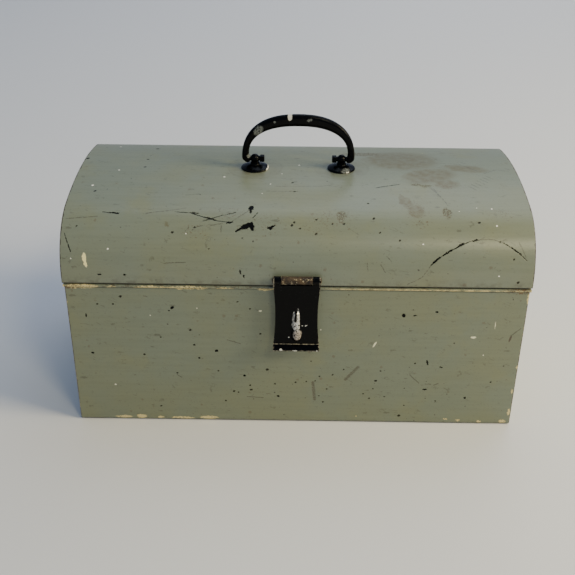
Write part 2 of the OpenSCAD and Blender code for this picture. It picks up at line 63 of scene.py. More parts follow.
studio = dict(
    floorSize=14, floorColour=(0.74, 0.73, 0.72), floorRough=0.75,
    worldColour=(0.54, 0.69, 1.0), worldStrength=0.42,
    lights=[  # name, place, aimed at, width, power, colour
        ("window", (1.8, -0.55, 1.2), (0.0, 0.0, 0.1), 0.9, 58, (1.0, 0.87, 0.55)),
        ("softbox", (0.83, -1.65, 2.0), (0.0, 0.0, 0.1), 0.42, 14, (1.0, 0.92, 0.62)),
        ("ceiling", (0.7, 1.5, 2.3), (0.4, 0.6, 0.0), 2.2, 23, (0.80, 0.89, 1.0)),
        ("backSky", (0.9, 3.0, 1.3), (0.7, 1.8, 0.0), 1.6, 16, (1.0, 0.95, 0.86)),
    ])


def addStudio():
    bpy.ops.mesh.primitive_plane_add(size=studio["floorSize"])
    floor = bpy.context.object
    floor.name = "floor"
    paper = bpy.data.materials.new("floorPaper")
    paper.use_nodes = True
    shader = paper.node_tree.nodes["Principled BSDF"]
    shader.inputs["Base Color"].default_value = (*studio["floorColour"], 1)
    shader.inputs["Roughness"].default_value = studio["floorRough"]
    floor.data.materials.append(paper)
    world = bpy.data.worlds.new("studio")
    bpy.context.scene.world = world
    world.use_nodes = True
    sky = world.node_tree.nodes["Background"]
    sky.inputs["Color"].default_value = (*studio["worldColour"], 1)
    sky.inputs["Strength"].default_value = studio["worldStrength"]
    for name, place, aim, width, power, colour in studio["lights"]:
        lamp = bpy.data.lights.new(name, "AREA")
        lamp.size = width
        lamp.energy = power
        lamp.color = colour
        holder = bpy.data.objects.new(name, lamp)
        bpy.context.scene.collection.objects.link(holder)
        holder.location = place
        holder.rotation_euler = (Vector(aim) - Vector(place)).to_track_quat("-Z", "Y").to_euler()
        holder.visible_glossy = name != "backSky"


addCamera()
addStudio()
print("toolbox: camera, floor and light set")


def makeActive(piece):
    bpy.ops.object.select_all(action="DESELECT")
    piece.select_set(True)
    bpy.context.view_layer.objects.active = piece


def startEditing(piece):
    makeActive(piece)
    bpy.ops.object.mode_set(mode="EDIT")
    bpy.ops.mesh.select_all(action="SELECT")


def stopEditing():
    bpy.ops.object.mode_set(mode="OBJECT")


def joined(parts):
    makeActive(parts[0])
    for part in parts:
        part.select_set(True)
    bpy.ops.object.join()
    return parts[0]


def applyModifier(piece, kind, **settings):
    makeActive(piece)
    modifier = piece.modifiers.new(kind.title(), kind)
    for key, value in settings.items():
        setattr(modifier, key, value)
    bpy.ops.object.modifier_apply(modifier=modifier.name)


def pickVertices(piece, wanted):
    # selects, in edit mode, only the vertices that wanted(place) accepts
    bpy.ops.mesh.select_mode(type="VERT")
    bpy.ops.mesh.select_all(action="DESELECT")
    mesh = bmesh.from_edit_mesh(piece.data)
    for vertex in mesh.verts:
        vertex.select = bool(wanted(vertex.co))
    mesh.select_flush(True)
    bmesh.update_edit_mesh(piece.data)


def finishPiece(piece, body, material, replaced, angle=30):
    makeActive(piece)
    bpy.ops.object.transform_apply(location=True, rotation=True, scale=True)
    bpy.ops.object.shade_smooth_by_angle(angle=math.radians(angle))
    # shading that keeps flat faces flat
    applyModifier(piece, "WEIGHTED_NORMAL", mode="FACE_AREA", weight=80, keep_sharp=True)
    if material:
        piece.data.materials.clear()
        piece.data.materials.append(material)
    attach(piece, body)
    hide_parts(*replaced)
    return piece


def softened(name, node, width, segments=2, bevelAngle=28):
    # a copy of a CAD piece, merged back into clean faces, with its edges rounded
    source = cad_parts[node]
    piece = bpy.data.objects.new(name, source.data.copy())
    bpy.context.scene.collection.objects.link(piece)
    piece.data.materials.clear()
    startEditing(piece)
    bpy.ops.mesh.remove_doubles(threshold=0.000002)
    bpy.ops.mesh.customdata_custom_splitnormals_clear()
    bpy.ops.mesh.dissolve_limited(angle_limit=math.radians(0.6))
    stopEditing()
    applyModifier(piece, "BEVEL", width=width, segments=segments, limit_method="ANGLE",
                  angle_limit=math.radians(bevelAngle), use_clamp_overlap=True)
    return piece


def sheetAlongX(name, halfWidth, across, start, steps, outside):
    # an edge along X, drawn out step by step into one bent sheet whose faces point outwards; a step is
    # ("draw", y, z, cuts) or ("turn", y and z of its middle, degrees, cuts)
    bpy.ops.mesh.primitive_plane_add(size=2 * halfWidth, location=(0, start[0] - halfWidth, start[1]))
    piece = bpy.context.object
    piece.name = name
    makeActive(piece)
    bpy.ops.object.transform_apply(location=True)
    startEditing(piece)
    pickVertices(piece, lambda place: place.y < start[0] - halfWidth)
    bpy.ops.mesh.delete(type="VERT")
    bpy.ops.mesh.select_all(action="SELECT")
    bpy.ops.mesh.subdivide(number_cuts=across)
    for kind, *values in steps:
        if kind == "draw":
            y, z, cuts = values
            for _ in range(cuts):
                bpy.ops.mesh.extrude_region_move(TRANSFORM_OT_translate={"value": (0, y / cuts, z / cuts)})
        else:
            y, z, angle, cuts = values
            bpy.ops.mesh.spin(steps=cuts, angle=-math.radians(angle), center=(0, y, z), axis=(1, 0, 0))
    bpy.ops.mesh.select_all(action="SELECT")
    bpy.ops.mesh.remove_doubles(threshold=0.00002)
    bpy.ops.mesh.normals_make_consistent(inside=False)
    stopEditing()
    probe = min(piece.data.polygons, key=lambda face: (face.center - Vector(outside)).length)
    if probe.normal.dot(Vector(outside) - probe.center) < 0:
        piece.data.flip_normals()
    return piece


def unrollUv(piece, zero):
    # U runs along X and V runs round the bent sheet, both in metres, with V nought beside the point zero
    mesh = bmesh.new()
    mesh.from_mesh(piece.data)
    mesh.verts.ensure_lookup_table()
    left = min(vertex.co.x for vertex in mesh.verts)
    column = [vertex for vertex in mesh.verts if vertex.co.x < left + 1e-5]
    ends = [vertex for vertex in column
            if sum(edge.other_vert(vertex).co.x < left + 1e-5 for edge in vertex.link_edges) == 1]
    here = min(ends, key=lambda vertex: (vertex.co.y, vertex.co.z))
    along, before, reach = {}, None, 0.0
    while here is not None:
        along[(round(here.co.y, 6), round(here.co.z, 6))] = reach
        after = [edge.other_vert(here) for edge in here.link_edges]
        after = [vertex for vertex in after if vertex.co.x < left + 1e-5 and vertex is not before]
        before, here = here, (after[0] if after else None)
        if here is not None:
            reach += (here.co - before.co).length
    start = along[min(along, key=lambda key: math.hypot(key[0] - zero[0], key[1] - zero[1]))]
    layer = mesh.loops.layers.uv.new("sheet")
    for face in mesh.faces:
        for loop in face.loops:
            place = loop.vert.co
            loop[layer].uv = (place.x, along[(round(place.y, 6), round(place.z, 6))] - start)
    mesh.to_mesh(piece.data)
    mesh.free()


def wavySheet(piece, strength, size):
    # the slight unevenness of hand-bent sheet
    cloud = bpy.data.textures.new(piece.name + "Wave", "CLOUDS")
    cloud.noise_scale = size
    applyModifier(piece, "DISPLACE", texture=cloud, strength=strength, mid_level=0.5,
                  texture_coords="LOCAL", direction="NORMAL")


def thickened(piece, thickness, edge):
    applyModifier(piece, "SOLIDIFY", thickness=thickness, offset=-1, use_even_offset=True,
                  use_rim=True, material_offset=1, material_offset_rim=0)
    if edge:
        applyModifier(piece, "BEVEL", width=edge, segments=2, limit_method="ANGLE",
                      angle_limit=math.radians(50), use_clamp_overlap=True)


def solid(colour):
    return (*colour, 1.0)


class Graph:
    # short ways to add nodes to a node tree; a value is a number, a tuple or another node's output
    def __init__(self, tree):
        self.tree = tree

    def feed(self, socket, value):
        if isinstance(value, bpy.types.NodeSocket):
            self.tree.links.new(value, socket)
        elif value is not None:
            socket.default_value = value

    def node(self, kind, *values, **settings):
        # a new node with its first inputs fed in order
        node = self.tree.nodes.new("ShaderNode" + kind)
        for key, value in settings.items():
            setattr(node, key, value)
        for socket, value in zip(node.inputs, values):
            self.feed(socket, value)
        return node

    def named(self, node, **values):
        for label, value in values.items():
            self.feed(node.inputs[label], value)
        return node.outputs

    def math(self, operation, *values, clamp=False):
        return self.node("Math", *values, operation=operation, use_clamp=clamp).outputs[0]

    def times(self, first, second):
        return self.math("MULTIPLY", first, second) if second != 1.0 else first

    def over(self, first, second):
        return self.math("DIVIDE", first, second)

    def plus(self, first, second, share=1.0):
        return self.math("ADD", first, self.times(second, share))

    def less(self, first, second, share=1.0):
        return self.math("SUBTRACT", first, self.times(second, share))

    def size(self, value):
        return self.math("ABSOLUTE", value)

    def most(self, *masks):
        total = masks[0]
        for mask in masks[1:]:
            total = self.math("MAXIMUM", total, mask)
        return total

    def vector(self, operation, *values, scale=None, output=0):
        node = self.node("VectorMath", *values, operation=operation)
        if scale is not None:            # only some operations have this input
            self.feed(node.inputs["Scale"], scale)
        return node.outputs[output]

    def ramp(self, value, *limits):
        # limits: from low, from high, to low, to high; a smooth step stays in its range by itself
        limits = (limits + (0.0, 1.0))[:4]
        return self.node("MapRange", value, *limits, interpolation_type="SMOOTHSTEP", clamp=False).outputs[0]

    def noise(self, vector, scale, detail=2.0, rough=0.5, output="Fac"):
        node = self.node("TexNoise")
        return self.named(node, Vector=vector, Scale=scale, Detail=detail, Roughness=rough)[output]

    def sway(self, vector, scale, detail=3.0, rough=0.65):
        # noise of three channels round nought
        return self.vector("SUBTRACT", self.noise(vector, scale, detail, rough, "Color"), (0.5, 0.5, 0.5))

    def cells(self, vector, scale, feature="F1"):
        return self.named(self.node("TexVoronoi", feature=feature), Vector=vector, Scale=scale)

    def blend(self, factor, first, second, mode="MIX"):
        node = self.node("Mix", factor, data_type="RGBA", blend_type=mode)
        self.feed(node.inputs[6], first)
        self.feed(node.inputs[7], second)
        return node.outputs[2]


origin = (0.0, 0.0, 0.0)


def newGroup(name, **inputs):
    # a shader group with one mask as output; a tuple stands for a vector input; lengths are in millimetres
    tree = bpy.data.node_groups.new(name, "ShaderNodeTree")
    for label, default in inputs.items():
        kind = "NodeSocketVector" if isinstance(default, tuple) else "NodeSocketFloat"
        tree.interface.new_socket(name=label, in_out="INPUT", socket_type=kind).default_value = default
    tree.interface.new_socket(name="Mask", in_out="OUTPUT", socket_type="NodeSocketFloat")
    given, made = tree.nodes.new("NodeGroupInput").outputs, tree.nodes.new("NodeGroupOutput").inputs
    return Graph(tree), given, made["Mask"]


def addChipGroup():
    # one ragged ellipse at a place: Along and Up are its axes, each divided by its half length
    graph, given, mask = newGroup("chipAt", Vector=origin, Place=origin, Along=(1.0, 0.0, 0.0),
                                  Up=(0.0, 1.0, 0.0), Softness=0.2, Others=0.0)
    away = graph.vector("SUBTRACT", given["Vector"], given["Place"])
    along = graph.vector("DOT_PRODUCT", away, given["Along"], output="Value")
    up = graph.vector("DOT_PRODUCT", away, given["Up"], output="Value")
    reach = graph.math("MULTIPLY_ADD", up, up, graph.times(along, along))
    chip = graph.ramp(reach, graph.less(1.0, given["Softness"]), graph.plus(1.0, given["Softness"]), 1.0, 0.0)
    graph.feed(mask, graph.most(chip, given["Others"]))


def addScratchGroup():
    # one straight scratch between two points
    graph, given, mask = newGroup("scratchLine", Vector=origin, Start=origin, End=origin, Width=0.6,
                                  Others=0.0)
    fromStart = graph.vector("SUBTRACT", given["Vector"], given["Start"])
    line = graph.vector("SUBTRACT", given["End"], given["Start"])
    share = graph.over(graph.vector("DOT_PRODUCT", fromStart, line, output="Value"),
                       graph.vector("DOT_PRODUCT", line, line, output="Value"))
    share = graph.most(graph.math("MINIMUM", share, 1.0), 0.0)
    foot = graph.vector("SCALE", line, scale=share)
    away = graph.vector("LENGTH", graph.vector("SUBTRACT", fromStart, foot), output="Value")
    shown = graph.ramp(away, graph.times(given["Width"], 0.35), given["Width"], 1.0, 0.0)
    graph.feed(mask, graph.most(shown, given["Others"]))


def addSpeckGroup():
    # scattered specks: Share of the cells hold one, of up to Size
    graph, given, mask = newGroup("specks", Vector=origin, Spacing=10.0, Share=0.3, Size=1.0, Ragged=0.5)
    shift = graph.vector("SCALE", graph.sway(given["Vector"], 1.1, 2.0, 0.6), scale=given["Ragged"])
    cells = graph.cells(graph.vector("ADD", given["Vector"], shift), graph.over(1.0, given["Spacing"]))
    chance = graph.node("SeparateColor", cells["Color"]).outputs
    away = graph.times(cells["Distance"], given["Spacing"])
    radius = graph.times(given["Size"], graph.plus(graph.math("POWER", chance[0], 2.0), 0.25))
    spot = graph.ramp(away, graph.times(radius, 0.6), radius, 1.0, 0.0)
    graph.feed(mask, graph.times(spot, graph.math("LESS_THAN", chance[1], given["Share"])))


def addStreakGroup():
    # long fine streaks along X, as a wide brush leaves them
    graph, given, mask = newGroup("brushStreaks", Vector=origin, Length=60.0, Pitch=1.2)
    thin = graph.over(1.0, given["Pitch"])
    pull = graph.node("CombineXYZ", graph.over(1.0, given["Length"]), thin, thin).outputs[0]
    graph.feed(mask, graph.noise(graph.vector("MULTIPLY", given["Vector"], pull), 1.0, 3.0, 0.6))


def addRubGroup():
    # paint rubbed through near an edge: Away is the distance to it, Amount how much has gone
    graph, given, mask = newGroup("edgeRub", Vector=origin, Away=1.0, Reach=2.0, Amount=0.5, Grain=4.0)
    near = graph.math("SUBTRACT", 1.0, graph.over(given["Away"], given["Reach"]), clamp=True)
    patchy = graph.noise(given["Vector"], graph.over(1.0, given["Grain"]), 4.0, 0.65)
    reached = graph.plus(graph.times(near, given["Amount"]), graph.less(patchy, 0.5))
    graph.feed(mask, graph.times(graph.ramp(reached, 0.42, 0.5), graph.ramp(near, 0.0, 0.25)))


def addHairlineGroup():
    # fine random scratches: thin cell borders of long cells, kept in patches only
    graph, given, mask = newGroup("hairlines", Vector=origin, Turn=0.5, Length=30.0, Width=0.12, Share=0.3)
    turned = graph.named(graph.node("VectorRotate", rotation_type="Z_AXIS"), Vector=given["Vector"],
                         Angle=given["Turn"])[0]
    bent = graph.vector("SCALE", graph.sway(given["Vector"], 0.03, 1.0, 0.5), scale=14.0)
    long = graph.vector("MULTIPLY", graph.vector("ADD", turned, bent), (0.12, 1.0, 1.0))
    cells = graph.cells(long, graph.over(8.0, given["Length"]), "DISTANCE_TO_EDGE")
    away = graph.times(cells["Distance"], graph.over(given["Length"], 8.0))
    low = graph.less(0.72, given["Share"], 0.4)
    patches = graph.ramp(graph.noise(given["Vector"], 0.11, 2.0, 0.6), low, graph.plus(low, 0.06))
    graph.feed(mask, graph.times(graph.ramp(away, 0.0, given["Width"], 1.0, 0.0), patches))


for addGroup in (addChipGroup, addScratchGroup, addSpeckGroup, addStreakGroup, addRubGroup, addHairlineGroup):
    addGroup()
print("toolbox: shader groups ready")


class Paint(Graph):
    # a material under construction, with its coordinates in millimetres
    def __init__(self, name, fromUv=False):
        self.material = bpy.data.materials.new(name)
        self.material.use_nodes = True
        super().__init__(self.material.node_tree)
        self.shader = self.tree.nodes["Principled BSDF"]
        self.place = self.vector("SCALE", self.node("TexCoord").outputs["Object"], scale=1 / mm)
        self.across = self.place
        if fromUv:
            self.across = self.vector("SCALE", self.node("UVMap", uv_map="sheet").outputs[0], scale=1 / mm)
        self.x, self.y, self.z = self.node("SeparateXYZ", self.place).outputs
        self.u, self.v = self.node("SeparateXYZ", self.across).outputs[:2]

    def group(self, name, vector, **values):
        node = self.node("Group", node_tree=bpy.data.node_groups[name])
        return self.named(node, Vector=vector, **values)[0]

    def specks(self, vector, spacing, share, size, ragged):
        return self.group("specks", vector, Spacing=spacing, Share=share, Size=size, Ragged=ragged)

    def moved(self, *offset):
        return self.vector("ADD", self.place, offset)

    def grain(self, vector, scale, detail, rough, *limits):
        return self.ramp(self.noise(vector, scale, detail, rough), *limits)

    def coat(self, colour, mask, shade, share=1.0):
        # one shade laid over the colour where the mask lets it
        return self.blend(self.times(mask, share), colour, solid(shade))

    def coats(self, colour, look, layers):
        # layers: mask, its share and the name of a shade
        for mask, share, shade in layers:
            colour = self.coat(colour, mask, look[shade], share)
        return colour

    def shifted(self, scale, amount, vector=None, start=None):
        # coordinates pushed about a little, so that marks have ragged edges
        push = self.vector("MULTIPLY", self.sway(vector or self.across, scale), (amount, amount, 0.0))
        return self.vector("ADD", start or self.across, push)

    def chips(self, vector, spots, softness=0.25):
        # spots: (across, up, half length, half height, turn in degrees)
        mask = 0.0
        for x, y, long, high, turn in spots:
            right, rise = math.cos(math.radians(turn)), math.sin(math.radians(turn))
            mask = self.group("chipAt", vector, Place=(x, y, 0), Along=(right / long, rise / long, 0),
                              Up=(-rise / high, right / high, 0), Softness=softness, Others=mask)
        return mask

    def dots(self, vector, spots, length, height, turn, softness):
        # spots: (across, up, size), drawn at the given shares of their size
        spots = [(x, y, size * length, size * height, turn) for x, y, size in spots]
        return self.chips(vector, spots, softness)

    def scratches(self, vector, lines, width):
        # lines: lists of points that a scratch runs through
        mask = 0.0
        for line in lines:
            for one, other in zip(line, line[1:]):
                mask = self.group("scratchLine", vector, Start=(*one, 0), End=(*other, 0), Width=width,
                                  Others=mask)
        return mask

    def awayFrom(self, axis, edge):
        # distance from an edge across an axis; an edge below nought stands for the two sides
        spot = dict(x=self.x, y=self.y, z=self.z)[axis]
        return self.less(-edge, self.size(spot)) if edge < 0 else self.size(self.less(spot, edge))

    def rub(self, away, reach, amount, grain, vector=None):
        return self.group("edgeRub", vector or self.place, Away=away, Reach=reach, Amount=amount, Grain=grain)

    def finish(self, colour, rough, height, depth, metal=0.0):
        bump = self.named(self.node("Bump"), Distance=depth * mm, Height=height)[0]
        self.named(self.shader, Roughness=rough, Metallic=metal, Normal=bump)
        self.feed(self.shader.inputs["Base Color"], colour)
        return self.material


greenPaint = dict(
    main=(0.188, 0.202, 0.124), cool=(0.178, 0.202, 0.142), warm=(0.204, 0.210, 0.112),
    grime=(0.050, 0.042, 0.026), under=(0.70, 0.57, 0.25), primer=(0.003, 0.003, 0.003),
    rust=(0.10, 0.056, 0.022), bareEdge=(0.045, 0.030, 0.018), scratch=(0.045, 0.036, 0.024),
    speck=(0.03, 0.025, 0.018), rough=0.28, bump=0.12, bareMetal=0.85)


def paintBase(paint, look):
    # mottled paint with brush streaks; gives its colour, a height and a fine grain
    place, main = paint.place, look["main"]
    colour = paint.blend(paint.grain(place, 0.012, 3.0, 0.55, 0.35, 0.65), solid(main), solid(look["cool"]))
    colour = paint.coat(colour, paint.grain(place, 0.021, 4.0, 0.6, 0.5, 0.75, 0.0, 0.6), look["warm"])
    streak = paint.group("brushStreaks", paint.across, Length=60.0, Pitch=3.6)
    darker = solid([share * 0.78 for share in main])
    colour = paint.blend(paint.ramp(streak, 0.35, 0.7, 0.0, 0.08), colour, darker, "MULTIPLY")
    fine = paint.noise(place, 0.55, 4.0, 0.7)
    colour = paint.coat(colour, paint.ramp(fine, 0.56, 0.74, 0.0, 0.30), look["grime"])
    return colour, paint.plus(paint.times(streak, 0.035), paint.noise(place, 0.30), 0.35), fine


def scatter(paint, colour, look, amount=1.0):
    # pits with brown edges, pale flecks and fine scratches all over
    squashed = paint.vector("MULTIPLY", paint.place, (0.45, 1.0, 1.0))
    pits = paint.specks(paint.place, 9.5, 0.40 * amount, 0.85, 1.6)
    brown = paint.specks(paint.moved(31.0, 17.0, 5.0), 11.0, 0.50 * amount, 1.7, 3.6)
    dots = paint.specks(paint.moved(3.0, 71.0, 15.0), 5.2, 0.42 * amount, 0.62, 1.0)
    pale = paint.specks(paint.moved(7.0, 53.0, 21.0), 34.0, 0.30 * amount, 0.8, 0.5)
    smudge = paint.specks(squashed, 8.0, 0.36 * amount, 1.5, 3.0)
    fine = paint.group("hairlines", paint.across, Turn=0.35, Length=38.0, Width=0.30, Share=0.34 * amount)
    cross = paint.group("hairlines", paint.across, Turn=1.9, Length=26.0, Width=0.26, Share=0.16 * amount)
    hair = paint.most(fine, cross)
    colour = paint.coats(colour, look, [(smudge, 0.42, "grime"), (dots, 0.42, "grime"), (hair, 0.38, "grime"),
                                        (brown, 0.40, "rust"), (pits, 0.80, "speck"), (pale, 0.75, "under")])
    return colour, pits, hair


lidShape = dict(leanRadius=57, leanAngle=13.5, shoulderRadius=52, crownAngle=79, band=4, hem=6,
                sheet=0.95, rounding=0.25, fold=1.0, wave=0.35, waveSize=0.09, across=150)

# marks on the lid: millimetres right of the middle, then up round the sheet from the front's lower edge
lidMarks = dict(
    scratches=[
        [(115, 20), (124, 28), (134, 34), (148, 41)], [(177, 40), (188, 33), (197, 25)],
        [(-107, 67), (-94, 66), (-81, 61), (-72, 58), (-59, 56)], [(-54, 67), (-67, 63), (-82, 57)],
        [(-170, 66), (-156, 64)], [(-201, 44), (-195, 28)], [(70, 108), (92, 115)],
        [(-35, 67), (-39, 61)]],
    faint=[
        [(96, 2), (108, 9), (115, 20)], [(148, 41), (158, 43), (168, 43), (177, 40)],
        [(-97, 47), (-94, 51)], [(-91, 48), (-88, 51), (-82, 53)], [(-75, 53), (-65, 55)],
        [(-69, 71), (-68, 68)], [(-98, 72), (-110, 69), (-132, 65)], [(-201, 58), (-174, 61)],
        [(-115, 19), (-96, 20)], [(-42, 70), (-58, 56)], [(-66, 55), (-66, 46)],
        [(-20, 109), (22, 110), (31, 113)], [(28, 111), (40, 108)], [(120, 108), (128, 92), (132, 80)],
        [(122, 108), (131, 84)], [(117, 166), (153, 162), (168, 145)], [(60, 21), (61, 14)],
        [(72, 20), (76, 13)], [(77, 27), (81, 23)], [(190, 41), (196, 28)],
        [(174, 140), (186, 149), (197, 146)], [(-28, 100), (0, 100)], [(-100, 92), (-87, 94)]],
    ladder=(158, 110, 3.1, 3.6, 7),  # start across, start up, step across, step up, count
    chips=[(-44.5, 52.6, 5.6, 2.5, 26), (-39.6, 52.6, 2.1, 4.4, 6), (-50.5, 49.4, 4.6, 0.9, 34),
           (-41, 73, 2.3, 3.4, -15), (-41, 69, 1.0, 2.8, 0), (-24, 51, 2.6, 1.5, -20),
           (-21, 53, 2.4, 0.8, 25), (-59, 56, 3.0, 0.9, 8), (-160, 65, 5.0, 0.8, -6),
           (-90, 66, 4.0, 0.8, -4), (-202, 167, 1.6, 1.6, 0), (-49, 12, 0.7, 2.2, 10),
           (-46, 8, 0.7, 1.6, 10), (-149, 8, 1.2, 1.0, 0), (-171, 8, 2.2, 0.7, 0), (119, 24, 4.6, 0.9, 42),
           (129, 31, 5.4, 1.0, 33), (139, 37, 5.0, 0.7, 30), (153, 42, 3.4, 0.6, 12),
           (188, 33, 6.0, 0.5, -36), (-76, 60, 6.0, 0.7, -18)],
    pits=[(-108, 46, 1.7), (-76, 32, 0.9), (-144, 146, 1.7), (-144, 166, 1.6), (-140, 203, 2.2),
          (-182, 97, 1.7), (-191, 51, 1.2), (16, 60, 1.4), (30, 56, 1.2), (40, 56, 1.5), (2, 51, 1.3),
          (-5, 54, 1.6), (16, 46, 1.5), (66, 62, 1.7), (62, 82, 1.3), (71, 48, 1.2), (88, 41, 1.2),
          (174, 41, 1.1), (186, 26, 1.1), (191, 5, 1.6), (157, 59, 1.5), (-3, 100, 1.4), (-5, 116, 1.6),
          (-89, 51, 1.4), (-3, 57, 1.3)],
    white=[(-186, 107, 1.7), (-167, 138, 1.3), (-178, 210, 1.6), (-68, 126, 1.5), (-25, 113, 1.1),
           (1, 155, 1.4), (-163, 31, 1.3), (-195, 22, 0.8), (-96, 45, 0.9), (-32, 96, 0.8), (172, 56, 1.3),
           (170, 76, 1.2), (157, 77, 0.9), (108, 38, 1.0), (174, 11, 1.0), (141, 72, 0.7),
           (-15, 134, 0.9)],
    cream=[(-183.4, 23, 1.7, 4.0, 4), (-182.6, 18, 1.3, 3.4, 12)],
    stains=[(98, 172, 34, 26, -4), (122, 133, 24, 15, 18), (158, 150, 20, 8, -12), (136, 116, 11, 8, 0),
            (96, 84, 5, 9, 20), (104, 72, 7, 8, 0), (92, 92, 3, 4, 0), (-113, 53, 3, 1.8, 0)],
    freckles=[(30, 62, 19, 10, 10), (14, 52, 12, 7, 0), (-60, 66, 16, 9, 0), (108, 57, 9, 5, 10),
              (176, 68, 12, 8, 0), (104, 76, 12, 16, 0), (132, 110, 16, 10, 0), (-88, 48, 14, 8, 0),
              (-30, 54, 22, 12, 0)],
    rust=[(107, 115, 6, 2.4, -14), (116, 112, 5, 2.6, -10), (130, 70, 4, 6, 0), (38, 64, 4, 7, 0),
          (60, 190, 20, 6, 3)],
    halos=[(-40.5, 148.5), (40.5, 148.5)])


lidLook = dict(  # the lid's sheet is painted greyer and bluer than the body: a painted reflection of the bluish sky on its upper faces
    greenPaint, main=(0.196, 0.211, 0.139), cool=(0.186, 0.210, 0.158), stain=(0.118, 0.098, 0.040),
    halo=(0.085, 0.070, 0.045), scuff=(0.070, 0.0392, 0.0154), pit=(0.020, 0.015, 0.010),
    lowDarkening=(0.060, 0.048, 0.028), white=(0.94, 0.92, 0.80), cream=(0.95, 0.84, 0.38))


def roseDirt(paint):
    # dirt and a faint arc left round the roses of the handle
    flat = paint.vector("MULTIPLY", paint.across, (1, 1, 0))
    rings = []
    for x, up in lidMarks["halos"]:
        away = paint.vector("DISTANCE", flat, (x, up, 0), output="Value")
        arc = paint.ramp(paint.size(paint.less(away, 25.0)), 0.4, 2.0, 0.30, 0.0)
        rings.append(paint.most(paint.times(paint.ramp(away, 12.0, 30.0, 1.0, 0.0), 0.55), arc))
    return paint.times(paint.most(*rings), paint.grain(paint.across, 0.09, 3.0, 0.5, 0.35, 0.65, 0.3, 1.0))


def addLidPaint():
    look, marks = lidLook, lidMarks
    paint = Paint("lidPaint", True)
    across = paint.across
    colour, height, fine = paintBase(paint, look)
    colour, pits, hair = scatter(paint, colour, look)
    near, ragged = paint.shifted(0.45, 1.6), paint.shifted(0.16, 9.0)
    stain = paint.times(paint.chips(ragged, marks["stains"], 0.6),
                        paint.grain(across, 0.16, 4.0, 0.65, 0.34, 0.66, 0.45, 1.0))
    rust = paint.times(paint.chips(ragged, marks["rust"], 0.5),
                       paint.grain(across, 0.6, 4.0, 0.75, 0.44, 0.54))
    freckle = paint.times(paint.chips(ragged, marks["freckles"], 0.7),
                          paint.grain(across, 0.45, 5.0, 0.75, 0.55, 0.64))
    x, up, dx, dup, count = marks["ladder"]
    rungs = [[(x + dx * i - 3, up + dup * i + 3), (x + dx * i + 3, up + dup * i - 4)] for i in range(count)]
    faint = paint.times(paint.scratches(near, marks["faint"] + rungs, 0.62),
                        paint.grain(across, 0.42, 3.0, 0.6, 0.36, 0.56, 0.15, 1.0))
    scratch = paint.times(paint.scratches(near, marks["scratches"], 0.60),
                          paint.grain(across, 0.35, 4.0, 0.7, 0.36, 0.54, 0.15, 1.0))
    pit = paint.dots(paint.shifted(0.9, 2.6), marks["pits"], 0.85, 0.6, 25, 0.4)
    dark = paint.most(scratch, paint.chips(paint.shifted(0.75, 4.2), marks["chips"], 0.12))
    # the lower edge and the edges over the ends have lost their paint to dark metal in places
    sideRub = paint.rub(paint.awayFrom("x", -lidHigh.x / mm), 2.4, 0.62, 5.0)
    lowAway = paint.less(paint.z, lidLow.z / mm)
    lowRub = paint.rub(lowAway, 2.2, 0.50, 6.0)
    # darker towards the lid's lower edge: patchy over nine millimetres, and solid along the last one and a
    # half
    lowDarkening = paint.times(paint.ramp(lowAway, 0.0, 9.0, 0.5, 0.0),
                          paint.grain(paint.place, 0.12, 4.0, 0.7, 0.42, 0.66))
    lowDarkening = paint.most(lowDarkening, paint.ramp(lowAway, 0.4, 1.5, 0.8, 0.0))
    cream = paint.chips(paint.shifted(0.45, 2.4), marks["cream"], 0.2)
    pale = paint.most(paint.dots(near, marks["white"], 0.62, 0.55, 0, 0.3), cream)
    edges = paint.most(paint.times(sideRub, 0.9), lowRub)
    colour = paint.coats(colour, look, [
        (stain, 0.78, "stain"), (roseDirt(paint), 0.75, "halo"), (rust, 0.6, "scuff"),
        (freckle, 0.72, "rust"), (faint, 0.62, "scratch"), (pit, 0.9, "pit"), (edges, 1.0, "bareEdge"),
        (lowDarkening, 1.0, "lowDarkening"), (dark, 1.0, "primer"), (pale, 1.0, "white"), (cream, 1.0, "cream")])
    worn = paint.most(dark, rust, pit, sideRub, lowRub)
    roughness = paint.plus(paint.plus(look["rough"], fine, 0.10), worn, 0.22)
    height = paint.less(height, paint.most(worn, pits), 0.9)
    height = paint.less(height, paint.most(hair, faint), 0.25)
    height = paint.plus(height, pale, 0.5)
    metal = paint.times(paint.most(dark, pit), look["bareMetal"])
    return paint.finish(colour, roughness, height, look["bump"], metal)


def addPlainPaint(name, shade=1.0, amount=1.0, rubbed=()):
    # the same paint without placed marks, for the ends, insides and tray;
    # rubbed edges: axis, place (below nought for both sides), reach, whether the pale undercoat shows
    look = dict(greenPaint)
    for key in ("main", "cool", "warm"):
        look[key] = [share * shade for share in look[key]]
    paint = Paint(name)
    colour, height, fine = paintBase(paint, look)
    colour, worn, hair = scatter(paint, colour, look, amount)
    for axis, edge, reach, pale in rubbed:
        rub = paint.rub(paint.awayFrom(axis, edge), reach, 0.56, 6.0)
        colour = paint.coat(colour, rub, look["under" if pale else "bareEdge"])
        worn = paint.most(worn, rub)
    roughness = paint.plus(paint.plus(look["rough"], fine, 0.12), worn, 0.2)
    return paint.finish(colour, roughness, paint.less(height, paint.most(worn, hair), 0.7), look["bump"])


lidLow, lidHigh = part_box("lid_wrap")
bodyLow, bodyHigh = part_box("body_wrap")
lidPaint = addLidPaint()
insidePaint = addPlainPaint("insidePaint", 0.85, 0.8)
lidEndPaint = addPlainPaint("lidEndPaint", 1.0, 1.1, [("z", lidLow.z / mm, 2.0, False)])
bodyEndPaint = addPlainPaint("bodyEndPaint", 1.0, 1.2, [  # front and rear, foot, bead
    ("y", -bodyHigh.y / mm, 2.2, True), ("z", 0.0001, 3.0, True), ("z", 146.4, 2.2, True)])


